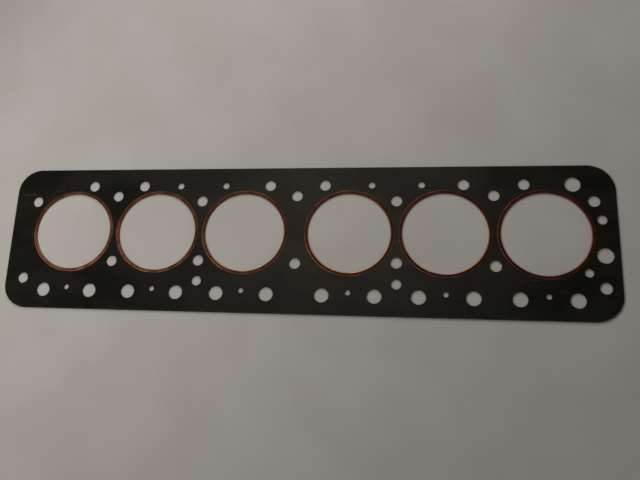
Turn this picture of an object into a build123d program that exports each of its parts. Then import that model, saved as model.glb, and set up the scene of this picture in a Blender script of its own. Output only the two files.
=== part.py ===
from build123d import *
import os

# Cylinder head gasket for an in-line six-cylinder engine with pushrods: a die-cut composite sheet, and a fire ring
# folded from copper strip round the edge of each cylinder opening.
#
# Millimetres. X runs along the row of cylinders, with cylinder 1 at -X. +Y is the side with the coolant holes and -Y
# the side with the pushrods. +Z points to the cylinder head. The origin is under the middle of the sheet, on the
# plane that the lower flanges of the fire rings lie on.

# Cylinders, in two groups. A web is the sheet left between the fire rings of two neighbours.
cylinders_per_group = 3
bore_diameter = 90.0  # inside a fire ring
web_width = 4.5
middle_web_width = 19.0  # between the two groups

# Fire rings
strip_thickness = 0.25
flange_width = 3.75  # from the bore to the outer edge of the flange
bend_bevel = 0.15  # along the outside of each bend
seat_depth = 0.1  # how far each flange is coined into its face of the sheet
ring_clearance = 0.05  # round the flange in its seat, and past the fold at the cut edge of the sheet

# Sheet, which reaches past the holes nearest to its edges by these margins
sheet_thickness = 1.4
corner_radius = 28.0
front_margin = 14.85  # from the pushrod-side stud hole past cylinder 1
rear_margin = 6.15  # from the main port past the last cylinder
coolant_margin = 14.8  # from the coolant holes
pushrod_margin = 13.6  # from the pushrod holes

# Head studs. There is one on each side of every web, at a distance from the line of the cylinders. The webs are
# counted from cylinder 1.
stud_hole = 12.4
odd_web_coolant_stud = 42.5
odd_web_pushrod_stud = 35.5
even_web_coolant_stud = 36.5
even_web_pushrod_stud = 33.5

# Two more studs and the ports lie beyond the end cylinders, the studs at both ends and the ports past the last. Each
# has its angle about the cylinder's centre, from the row towards the coolant side, and the land to the fire ring.
end_coolant_stud_angle = 36.0
end_coolant_stud_land = 6.0
end_pushrod_stud_angle = -46.0
end_pushrod_stud_land = 24.5
corner_port = 16.4
corner_port_angle = 62.0
corner_port_land = 5.0
edge_port = 10.2
edge_port_angle = 15.5
edge_port_land = 4.25
main_port = 16.8
main_port_angle = -22.0
main_port_land = 4.0
return_port = 9.2
return_port_angle = -46.0
return_port_land = 4.25

# Pushrod side: two pushrods to a cylinder with an oil drain between them, and an oil feed on each even web. The reach
# of each line of holes is from the outer edge of the fire rings.
pushrod_hole = 15.8
pushrod_reach = 21.75
pushrod_offset = 28.0  # each side of the cylinder's centre
drain_hole = 6.0
drain_reach = 18.25
feed_hole = 11.0
feed_reach = 8.25

# Coolant side: one line, with a coolant hole on each side of every odd web and a steam hole on each side of every
# even one
coolant_reach = 6.25
coolant_hole = 12.4
coolant_offset = 31.0
steam_hole = 7.8
steam_offset = 26.75

# Sizes that the sheet and the rings share
bore_radius = bore_diameter / 2
flange_radius = bore_radius + flange_width
opening_radius = bore_radius + strip_thickness + ring_clearance
seat_radius = flange_radius + ring_clearance
grip = sheet_thickness - 2 * seat_depth  # of the two flanges on the sheet
ring_height = grip + 2 * strip_thickness
sheet_underside = strip_thickness - seat_depth
sheet_top = sheet_underside + sheet_thickness

# The cylinders and the webs between them, along X from the middle of the row
first_of_group = flange_radius + middle_web_width / 2
group = [first_of_group + n * (2 * flange_radius + web_width) for n in range(cylinders_per_group)]
row = [-x for x in reversed(group)] + group
webs = [(here + there) / 2 for here, there in zip(row, row[1:])]
odd_webs = webs[::2]
even_webs = webs[1::2]
row_end = group[-1]
sides = (-1, 1)


def beyond_end(diameter, angle, land):
    # Centre of a hole beyond an end cylinder, from the middle of the row
    centre = Vector(flange_radius + land + diameter / 2, 0).rotate(Axis.Z, angle)
    return row_end + centre.X, centre.Y


end_coolant_stud = beyond_end(stud_hole, end_coolant_stud_angle, end_coolant_stud_land)
end_pushrod_stud = beyond_end(stud_hole, end_pushrod_stud_angle, end_pushrod_stud_land)
main_port_centre = beyond_end(main_port, main_port_angle, main_port_land)
coolant_line = flange_radius + coolant_reach
pushrod_line = flange_radius + pushrod_reach

# What the die punches, as the diameter and the centres of each kind of hole, from the middle of the row
punched = [
    (stud_hole, [(x, odd_web_coolant_stud) for x in odd_webs]),
    (stud_hole, [(x, -odd_web_pushrod_stud) for x in odd_webs]),
    (stud_hole, [(x, even_web_coolant_stud) for x in even_webs]),
    (stud_hole, [(x, -even_web_pushrod_stud) for x in even_webs]),
    (stud_hole, [(side * x, y) for x, y in (end_coolant_stud, end_pushrod_stud) for side in sides]),
    (pushrod_hole, [(x + side * pushrod_offset, -pushrod_line) for x in row for side in sides]),
    (drain_hole, [(x, -(flange_radius + drain_reach)) for x in row]),
    (feed_hole, [(x, -(flange_radius + feed_reach)) for x in even_webs]),
    (coolant_hole, [(x + side * coolant_offset, coolant_line) for x in odd_webs for side in sides]),
    (steam_hole, [(x + side * steam_offset, coolant_line) for x in even_webs for side in sides]),
    (corner_port, [beyond_end(corner_port, corner_port_angle, corner_port_land)]),
    (edge_port, [beyond_end(edge_port, edge_port_angle, edge_port_land)]),
    (main_port, [main_port_centre]),
    (return_port, [beyond_end(return_port, return_port_angle, return_port_land)]),
    (2 * opening_radius, [(x, 0) for x in row]),
]

# Edges of the sheet, from the middle of the row, and where the middle of the row lies from the origin
front_edge = end_pushrod_stud[0] + stud_hole / 2 + front_margin
rear_edge = main_port_centre[0] + main_port / 2 + rear_margin
coolant_edge = coolant_line + coolant_hole / 2 + coolant_margin
pushrod_edge = pushrod_line + pushrod_hole / 2 + pushrod_margin
row_middle = ((front_edge - rear_edge) / 2, (pushrod_edge - coolant_edge) / 2)

os.makedirs("parts", exist_ok=True)

# The sheet is one blank with every hole punched, and a seat is coined round each cylinder opening on both faces
with BuildPart() as gasket_sheet:
    with BuildSketch(Plane.XY.offset(sheet_underside)):
        RectangleRounded(front_edge + rear_edge, coolant_edge + pushrod_edge, corner_radius)
        for diameter, centres in punched:
            with Locations(row_middle), Locations(*centres):
                Circle(diameter / 2, mode=Mode.SUBTRACT)
    extrude(amount=sheet_thickness)
    for face, inwards in ((sheet_underside, 1), (sheet_top, -1)):
        with BuildSketch(Plane.XY.offset(face)):
            with Locations(row_middle), Locations(*[(x, 0) for x in row]):
                Circle(seat_radius)
        extrude(amount=inwards * seat_depth, mode=Mode.SUBTRACT)

gasket_sheet.part.label = "gasket_sheet"
export_step(gasket_sheet.part, "parts/gasket_sheet.step")

# A fire ring is a strip folded tight into a U, open away from the cylinder, with a flange on each face of the sheet
for number, x in enumerate(row, start=1):
    cylinder = Axis((row_middle[0] + x, row_middle[1], 0), (0, 0, 1))
    with BuildPart() as fire_ring:
        with BuildSketch(Plane(cylinder.position, x_dir=(1, 0, 0), z_dir=(0, -1, 0))) as fold:
            with Locations((bore_radius, 0)):
                Rectangle(flange_width, ring_height, align=(Align.MIN, Align.MIN))
            with Locations((bore_radius + strip_thickness, strip_thickness)):
                Rectangle(flange_width, grip, align=(Align.MIN, Align.MIN), mode=Mode.SUBTRACT)
            chamfer(fold.vertices().group_by(Axis.X)[0], bend_bevel)
        revolve(axis=cylinder)

    fire_ring.part.label = f"fire_ring_{number}"
    export_step(fire_ring.part, f"parts/{fire_ring.part.label}.step")
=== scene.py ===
import bmesh
import bpy
from math import radians, tau
from mathutils import Matrix, Vector, noise


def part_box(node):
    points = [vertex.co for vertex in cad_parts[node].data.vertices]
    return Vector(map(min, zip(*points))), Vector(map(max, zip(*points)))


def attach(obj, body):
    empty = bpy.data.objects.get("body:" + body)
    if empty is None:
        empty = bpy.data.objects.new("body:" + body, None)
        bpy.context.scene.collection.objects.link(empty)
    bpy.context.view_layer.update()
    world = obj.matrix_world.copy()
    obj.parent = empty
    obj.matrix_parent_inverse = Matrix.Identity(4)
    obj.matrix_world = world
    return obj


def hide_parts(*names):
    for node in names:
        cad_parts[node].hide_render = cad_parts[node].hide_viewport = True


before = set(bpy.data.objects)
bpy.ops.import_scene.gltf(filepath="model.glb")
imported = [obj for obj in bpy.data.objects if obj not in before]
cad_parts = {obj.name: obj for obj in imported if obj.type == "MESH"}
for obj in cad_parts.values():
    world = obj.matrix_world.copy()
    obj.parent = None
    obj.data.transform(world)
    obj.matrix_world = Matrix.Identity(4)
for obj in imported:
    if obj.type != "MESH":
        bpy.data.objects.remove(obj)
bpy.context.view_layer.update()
print("frame loaded")


# A wire carries one output of a node. Sums on wires add Math nodes.
class Wire:
    def __init__(self, tree, socket=None):
        self.tree = tree
        self.socket = socket

    def node(self, kind, values=None, output=0, **settings):
        made = self.tree.nodes.new("ShaderNode" + kind)
        for name, setting in settings.items():
            setattr(made, name, setting)
        for name, value in (values or {}).items():
            if isinstance(value, Wire):
                self.tree.links.new(value.socket, made.inputs[name])
            else:
                made.inputs[name].default_value = value
        return Wire(self.tree, made.outputs[output] if made.outputs else None)

    def maths(self, operation, *others):
        return self.node("Math", dict(enumerate((self, *others))), operation=operation)

    def __add__(self, other):
        return self.maths("ADD", other)

    def __rsub__(self, other):
        return self.maths("MULTIPLY_ADD", -1, other)

    def __mul__(self, other):
        return self.maths("MULTIPLY", other)

    __radd__ = __add__
    __rmul__ = __mul__

    def vector(self, operation, *others, output="Vector"):
        return self.node("VectorMath", dict(enumerate((self, *others))), output=output, operation=operation)

    def part(self, axis):
        return self.node("SeparateXYZ", {"Vector": self}, output=axis)

    # 0 below low, 1 above high and smooth between
    def rise(self, low, high):
        ends = {"Value": self, "From Min": low, "From Max": high}
        return self.node("MapRange", ends, interpolation_type="SMOOTHSTEP")

    # 1 nearer to the point than near, 0 beyond far and smooth between
    def fall(self, point, near, far):
        return 1 - self.vector("DISTANCE", point, output="Value").rise(near, far)

    # the mask squeezed so that it starts from least in place of 0
    def atLeast(self, least):
        return least + (1 - least) * self

    # the mask with a share of it given up to another
    def towards(self, other, share):
        return (1 - share) * self + share * other

    # one colour where the wire is 0, the other where it is 1
    def blend(self, first, second):
        return self.node("Mix", {0: self, 6: first, 7: second}, output=2, data_type="RGBA")

    # noise whose specks have that size in metres, drawn out along each axis, with a span made to run from 0 to 1
    def specks(self, size, drawn=(1, 1, 1), detail=3, span=None):
        scale = [1 / (size * length) for length in drawn]
        placed = self.node("Mapping", {"Vector": self, "Scale": scale})
        noisy = self.node("TexNoise", {"Vector": placed, "Scale": 1, "Detail": detail})
        return noisy.rise(*span) if span else noisy


def emptyNodes(owner):
    owner.use_nodes = True
    owner.node_tree.nodes.clear()
    return Wire(owner.node_tree)


def shader(start, colour, roughness, height, depth, **constants):
    bump = start.node("Bump", {"Height": height, "Distance": depth})
    values = {"Base Color": colour, "Roughness": roughness, "Normal": bump}
    values |= {name.replace("_", " "): value for name, value in constants.items()}
    return start.node("BsdfPrincipled", values)


def cover(piece, material, surface):
    surface.node("OutputMaterial", {"Surface": surface})
    piece.data.materials.clear()
    piece.data.materials.append(material)


def newObject(name, mesh):
    made = bpy.data.objects.new(name, bpy.data.meshes.new(name))
    mesh.to_mesh(made.data)
    mesh.free()
    bpy.context.collection.objects.link(made)
    return made


# Sheet: pressed fibre with a dark graphite face, paler and rougher where the die cut it
sheetLook = {
    "dark": (0.0028, 0.0026, 0.0018, 1),
    "pale": (0.0230, 0.0216, 0.0160, 1),
    "patches": {"size": 0.05, "drawn": (1.6, 1, 1), "detail": 4, "span": (0.35, 0.68)},
    "paintedSheen": {"point": (0.045, 0.04, 0), "near": 0, "far": 0.30},  # painted sheen: the sheet's colour is painted paler around this point
    "paintedSheenShare": 0.75,
    "fibre": (0.0180, 0.0168, 0.0128, 1),
    "fibres": {"size": 0.0007, "drawn": (3, 1, 1), "span": (0.50, 0.66)},
    "fibreShare": 0.4,
    "flake": (0.0750, 0.0740, 0.0700, 1),  # bright graphite flakes in the face
    "flakes": {"size": 0.0005, "detail": 1, "span": (0.68, 0.76)},
    "flakeShare": 0.4,
    "scuff": (0.0480, 0.0455, 0.0380, 1),
    "streaks": {"size": 0.0012, "drawn": (28, 1, 1), "detail": 2, "span": (0.62, 0.72)},
    "scuffed": {"size": 0.07, "drawn": (1.5, 0.5, 1), "detail": 2, "span": (0.50, 0.66)},  # where streaks show
    "scuffShare": 0.4,
    "corner": 0.028,
    "rubWidth": 0.0013,  # of the paler line along the outline
    "rubGaps": {"size": 0.008, "span": (0.38, 0.60)},
    "rubShare": 0.5,
    "cutEdge": (0.0160, 0.0135, 0.0100, 1),
    "cutSlope": (0.3, 0.7),  # upright part of the normal where the cut ends and the face begins
    "roughness": 0.76,
    "polish": 0.10,  # what the patches, the painted sheen and scuffs take off it
    "fibreRoughness": 0.12,
    "cutRoughness": 0.15,
    "grain": {"size": 0.0003, "detail": 2},
    "swell": {"size": 0.004},
    "fibreHeight": 0.7,
    "swellHeight": 0.5,
    "grainDepth": 0.00008,
    "gloss": 0.04,
}


def dressSheet(node, look):
    low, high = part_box(node)
    material = bpy.data.materials.new("graphiteFacedFibre")
    start = emptyNodes(material)
    place = start.node("TexCoord", output="Object")
    normal = start.node("TexCoord", output="Normal")
    cut = 1 - normal.part("Z").maths("ABSOLUTE").rise(*look["cutSlope"])
    # patches: random paler and darker tone, with a share given up to a painted sheen around one point
    patches = place.specks(**look["patches"]).towards(place.fall(**look["paintedSheen"]), look["paintedSheenShare"])
    fibres = place.specks(**look["fibres"])
    flakes = place.specks(**look["flakes"])
    scuffs = place.specks(**look["streaks"]) * place.specks(**look["scuffed"])
    corner = look["corner"]
    inner = ((high.x - low.x) / 2 - corner, (high.y - low.y) / 2 - corner, 0)
    past = place.vector("MULTIPLY", (1, 1, 0)).vector("ABSOLUTE").vector("SUBTRACT", inner)
    reach = past.vector("MAXIMUM", (0, 0, 0)).vector("LENGTH", output="Value")
    brightMark = reach.rise(corner - look["rubWidth"], corner) * place.specks(**look["rubGaps"])
    colour = patches.blend(look["dark"], look["pale"])
    colour = (look["fibreShare"] * fibres).blend(colour, look["fibre"])
    colour = (look["flakeShare"] * flakes).blend(colour, look["flake"])
    colour = (look["scuffShare"] * scuffs + look["rubShare"] * brightMark).blend(colour, look["scuff"])
    colour = cut.blend(colour, look["cutEdge"])
    roughness = look["roughness"] - look["polish"] * (patches + scuffs)
    roughness += look["fibreRoughness"] * fibres + look["cutRoughness"] * cut
    height = place.specks(**look["grain"]) + look["fibreHeight"] * fibres
    height += look["swellHeight"] * place.specks(**look["swell"])
    surface = shader(start, colour, roughness, height, look["grainDepth"], Specular_IOR_Level=look["gloss"])
    cover(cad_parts[node], material, surface)


dressSheet("gasket_sheet", sheetLook)
print("sheet dressed")

# Fire rings: soft copper strip folded round the edge of the sheet, dull on the flats, with a bright line at the
# fold and at the outer edge that is partly rubbed copper and partly painted highlight, broken by painted glints
# and strongest as a painted highlight on the lower side of the middle rings
ringLook = {
    "strip": 0.00025,
    "foldRadius": 0.0008,  # outside the fold
    "foldSegments": 5,
    "tipRadius": 0.0001,
    "tipSegments": 2,
    "flatCuts": 4,
    "steps": 240,
    "weld": 0.000001,
    "wave": 0.00004,  # how far the flanges rise and fall
    "waveLength": 0.011,
    "dull": (0.056, 0.019, 0.0105, 1),
    "brown": (0.021, 0.0090, 0.0066, 1),
    "patches": {"size": 0.012, "detail": 4, "span": (0.38, 0.66)},
    "rolled": {"size": 0.00035, "drawn": (13, 1, 1), "span": (0.35, 0.65)},  # fine lines from rolling the strip
    "rolledShare": 0.25,
    # bright: colour of the line at the fold and the outer edge, partly rubbed copper and partly painted
    # highlight
    "bright": (0.900, 0.290, 0.105, 1),
    "foldBand": (0.00024, 0.00096),  # how far out from the bore it stays bright, and where that ends
    "foldShare": 0.75,
    "rimBand": (0.00080, 0.00032),  # how far in from the outer edge it turns bright, and where that is full
    "rimShare": 0.40,
    # painted glints along the bright line
    "glints": {"size": 0.026, "span": (0.42, 0.66)},
    "leastGlint": 0.35,
    "worn": {"point": (0.09, -0.10, 0), "near": 0.06, "far": 0.30},  # painted highlight: the rings are painted brighter around this point
    "wornSide": (-0.7, 0.3),  # the side of each ring where the painted highlight shows, in radii from its middle
    "leastWorn": 0.28,
    "roughness": 0.39,
    "patchRoughness": 0.10,
    "rolledRoughness": 0.04,
    "polish": 0.06,  # what the bright mark, partly rubbed copper and partly painted highlight, takes off it
    "grain": {"size": 0.0009},
    "dents": {"size": 0.005, "detail": 2},
    "dentHeight": 2,
    "rolledHeight": 0.8,
    "grainDepth": 0.00002,
}


def foldedRing(node, look):
    low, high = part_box(node)
    middle = (low + high) / 2
    outer = (high.x - low.x) / 2
    bore = min((v.co - middle).xy.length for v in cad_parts[node].data.vertices)
    strip = look["strip"]
    corners = [
        (bore, low.z), (bore, high.z), (outer, high.z), (outer, high.z - strip),
        (bore + strip, high.z - strip), (bore + strip, low.z + strip), (outer, low.z + strip), (outer, low.z),
    ]
    mesh = bmesh.new()
    points = [mesh.verts.new((middle.x + radius, middle.y, z)) for radius, z in corners]
    mesh.faces.new(points)
    rounds = [
        (points[0:2], look["foldRadius"], look["foldSegments"]),
        (points[4:6], look["foldRadius"] - strip, look["foldSegments"] - 1),
        (points[2:4] + points[6:8], look["tipRadius"], look["tipSegments"]),
    ]
    for sharp, radius, segments in rounds:
        bmesh.ops.bevel(mesh, geom=sharp, offset=radius, offset_type="OFFSET", segments=segments, profile=0.5,
                        affect="VERTICES", material=-1)
    flats = [edge for edge in mesh.edges if edge.calc_length() > look["foldRadius"]]
    bmesh.ops.subdivide_edges(mesh, edges=flats, cuts=look["flatCuts"])
    bmesh.ops.delete(mesh, geom=mesh.faces[:], context="FACES_ONLY")
    bmesh.ops.spin(mesh, geom=mesh.verts[:] + mesh.edges[:], cent=middle, axis=(0, 0, 1), angle=tau,
                   steps=look["steps"], use_merge=True)
    bmesh.ops.remove_doubles(mesh, verts=mesh.verts[:], dist=look["weld"])
    for point in mesh.verts:
        away = point.co - middle
        reach = (away.xy.length - bore) / (outer - bore)
        sunk = look["wave"] * reach * (1 + noise.noise(away / look["waveLength"]))
        point.co.z -= sunk if away.z > 0 else -sunk
    bmesh.ops.recalc_face_normals(mesh, faces=mesh.faces[:])
    ring = newObject("copper_" + node, mesh)
    for face in ring.data.polygons:
        face.use_smooth = True
    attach(ring, "root")
    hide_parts(node)
    return ring, middle, bore, outer


def dressRing(ring, middle, bore, outer, look):
    material = bpy.data.materials.new(ring.name)
    start = emptyNodes(material)
    place = start.node("TexCoord", output="Object")
    centred = start.node("Mapping", {"Vector": place, "Location": (-middle.x, -middle.y, 0)})
    reach = centred.vector("MULTIPLY", (1, 1, 0)).vector("LENGTH", output="Value")
    angle = centred.part("Y").maths("ARCTAN2", centred.part("X"))
    around = start.node("CombineXYZ", {"X": bore * angle, "Y": reach, "Z": middle.x})
    rolled = around.specks(**look["rolled"])
    patches = place.specks(**look["patches"])
    fold = 1 - reach.rise(*[bore + width for width in look["foldBand"]])
    rim = reach.rise(*[outer - width for width in look["rimBand"]])
    # painted glints: noise that breaks the bright line into brighter and duller stretches
    glints = place.specks(**look["glints"]).atLeast(look["leastGlint"])
    # painted highlight: the lower side of each ring near one point of the sheet is painted brighter, where its
    # fold faces the lamp behind
    wornSide = 1 - centred.part("Y").rise(*[bore * radii for radii in look["wornSide"]])
    worn = (place.fall(**look["worn"]) * wornSide).atLeast(look["leastWorn"])
    # the bright mark: the line at the fold and the outer edge, partly rubbed copper and partly painted
    # highlight, times the painted glints and the painted highlight on the lower side
    brightMark = (look["foldShare"] * fold + look["rimShare"] * rim) * glints * worn
    colour = patches.towards(rolled, look["rolledShare"]).blend(look["dull"], look["brown"])
    colour = brightMark.blend(colour, look["bright"])
    roughness = look["roughness"] - look["polish"] * brightMark
    roughness += look["patchRoughness"] * patches + look["rolledRoughness"] * rolled
    height = place.specks(**look["grain"]) + look["dentHeight"] * place.specks(**look["dents"])
    height += look["rolledHeight"] * rolled
    cover(ring, material, shader(start, colour, roughness, height, look["grainDepth"], Metallic=1.0))


for node in sorted(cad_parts):
    if node.startswith("fire_ring"):
        dressRing(*foldedRing(node, ringLook), ringLook)
print("fire rings folded")

# Stage: pale paper that fades into a pale backdrop, a soft lamp behind, a weaker one on the left, and grey air
stageLook = {
    "paper": (0.335, 0.312, 0.284, 1),
    "paperShade": (0.312, 0.288, 0.260, 1),
    "clouds": {"size": 0.09, "span": (0.3, 0.7)},
    "smudge": (0.235, 0.218, 0.200, 1),
    "smudges": {"size": 0.012, "span": (0.62, 0.8)},
    "smudged": {"size": 0.11, "detail": 1, "span": (0.5, 0.7)},  # where smudges show
    "smudgeShare": 0.3,
    "grain": {"size": 0.002},
    "grainDepth": 0.00003,
    "roughness": 0.9,
    "gloss": 0.2,
    "size": 6,
    "fade": (0.36, 0.80),  # where the paper starts to fade and where it ends
    "backdrop": (0.27, 0.255, 0.235, 1),
    "air": (0.24, 0.24, 0.24, 1),
    "lamps": {
        "backLamp": {"place": (-0.09, 0.75, 0.55), "aim": (0.30, -0.10, 0), "size": 0.5, "power": 5.6},
        "sideLamp": {"place": (-0.50, -0.02, 0.56), "aim": (-0.36, -0.20, 0), "size": 0.4, "power": 3.0},
    },
}


# the backdrop's own light, seen by the camera and in the metal, that lights nothing else
def backdropGlow(start, look):
    camera, glossy, through = [start.node("LightPath", output=f"Is {kind} Ray")
                               for kind in ("Camera", "Glossy", "Transmission")]
    return (camera + glossy + through).blend(look["air"], look["backdrop"])


def layPaper(look):
    mesh = bmesh.new()
    bmesh.ops.create_grid(mesh, x_segments=1, y_segments=1, size=look["size"] / 2)
    floor = newObject("paper", mesh)
    material = bpy.data.materials.new("paper")
    start = emptyNodes(material)
    place = start.node("TexCoord", output="Object")
    smudges = place.specks(**look["smudges"]) * place.specks(**look["smudged"])
    colour = place.specks(**look["clouds"]).blend(look["paper"], look["paperShade"])
    colour = (look["smudgeShare"] * smudges).blend(colour, look["smudge"])
    paper = shader(start, colour, look["roughness"], place.specks(**look["grain"]), look["grainDepth"],
                   Specular_IOR_Level=look["gloss"])
    glow = start.node("Emission", {"Color": backdropGlow(start, look)})
    faded = place.vector("LENGTH", output="Value").rise(*look["fade"])
    cover(floor, material, start.node("MixShader", {0: faded, 1: paper, 2: glow}))


def hangLamp(name, look):
    lamp = bpy.data.lights.new(name, "AREA")
    lamp.size = look["size"]
    lamp.energy = look["power"]
    stand = bpy.data.objects.new(name, lamp)
    stand.location = look["place"]
    stand.rotation_euler = (Vector(look["aim"]) - stand.location).to_track_quat("-Z", "Y").to_euler()
    bpy.context.collection.objects.link(stand)


def fillAir(look):
    world = bpy.data.worlds.new("air")
    start = emptyNodes(world)
    start.node("OutputWorld", {"Surface": start.node("Background", {"Color": backdropGlow(start, look)})})
    bpy.context.scene.world = world


layPaper(stageLook)
for name, lamp in stageLook["lamps"].items():
    hangLamp(name, lamp)
fillAir(stageLook)
print("stage set")

# Camera: high in front and to the right, rolled so that the sheet lies level in its view
cameraLook = {
    "place": (0.0769, -0.1932, 0.6543),
    "aim": (-0.0278, -0.0399, 0.0015),
    "roll": -32.33,
    "lens": 34.77,
    "sensor": 36,
    "shift": (0.0837, 0.0528),
}


def placeCamera(look):
    lens = bpy.data.cameras.new("camera")
    lens.lens = look["lens"]
    lens.sensor_width = look["sensor"]
    lens.shift_x, lens.shift_y = look["shift"]
    camera = bpy.data.objects.new("camera", lens)
    place = Vector(look["place"])
    turned = (Vector(look["aim"]) - place).to_track_quat("-Z", "Y").to_matrix().to_4x4()
    camera.matrix_world = Matrix.Translation(place) @ turned @ Matrix.Rotation(radians(look["roll"]), 4, "Z")
    bpy.context.collection.objects.link(camera)
    bpy.context.scene.camera = camera
    bpy.context.scene.view_settings.view_transform = "Standard"


placeCamera(cameraLook)
print("camera placed")
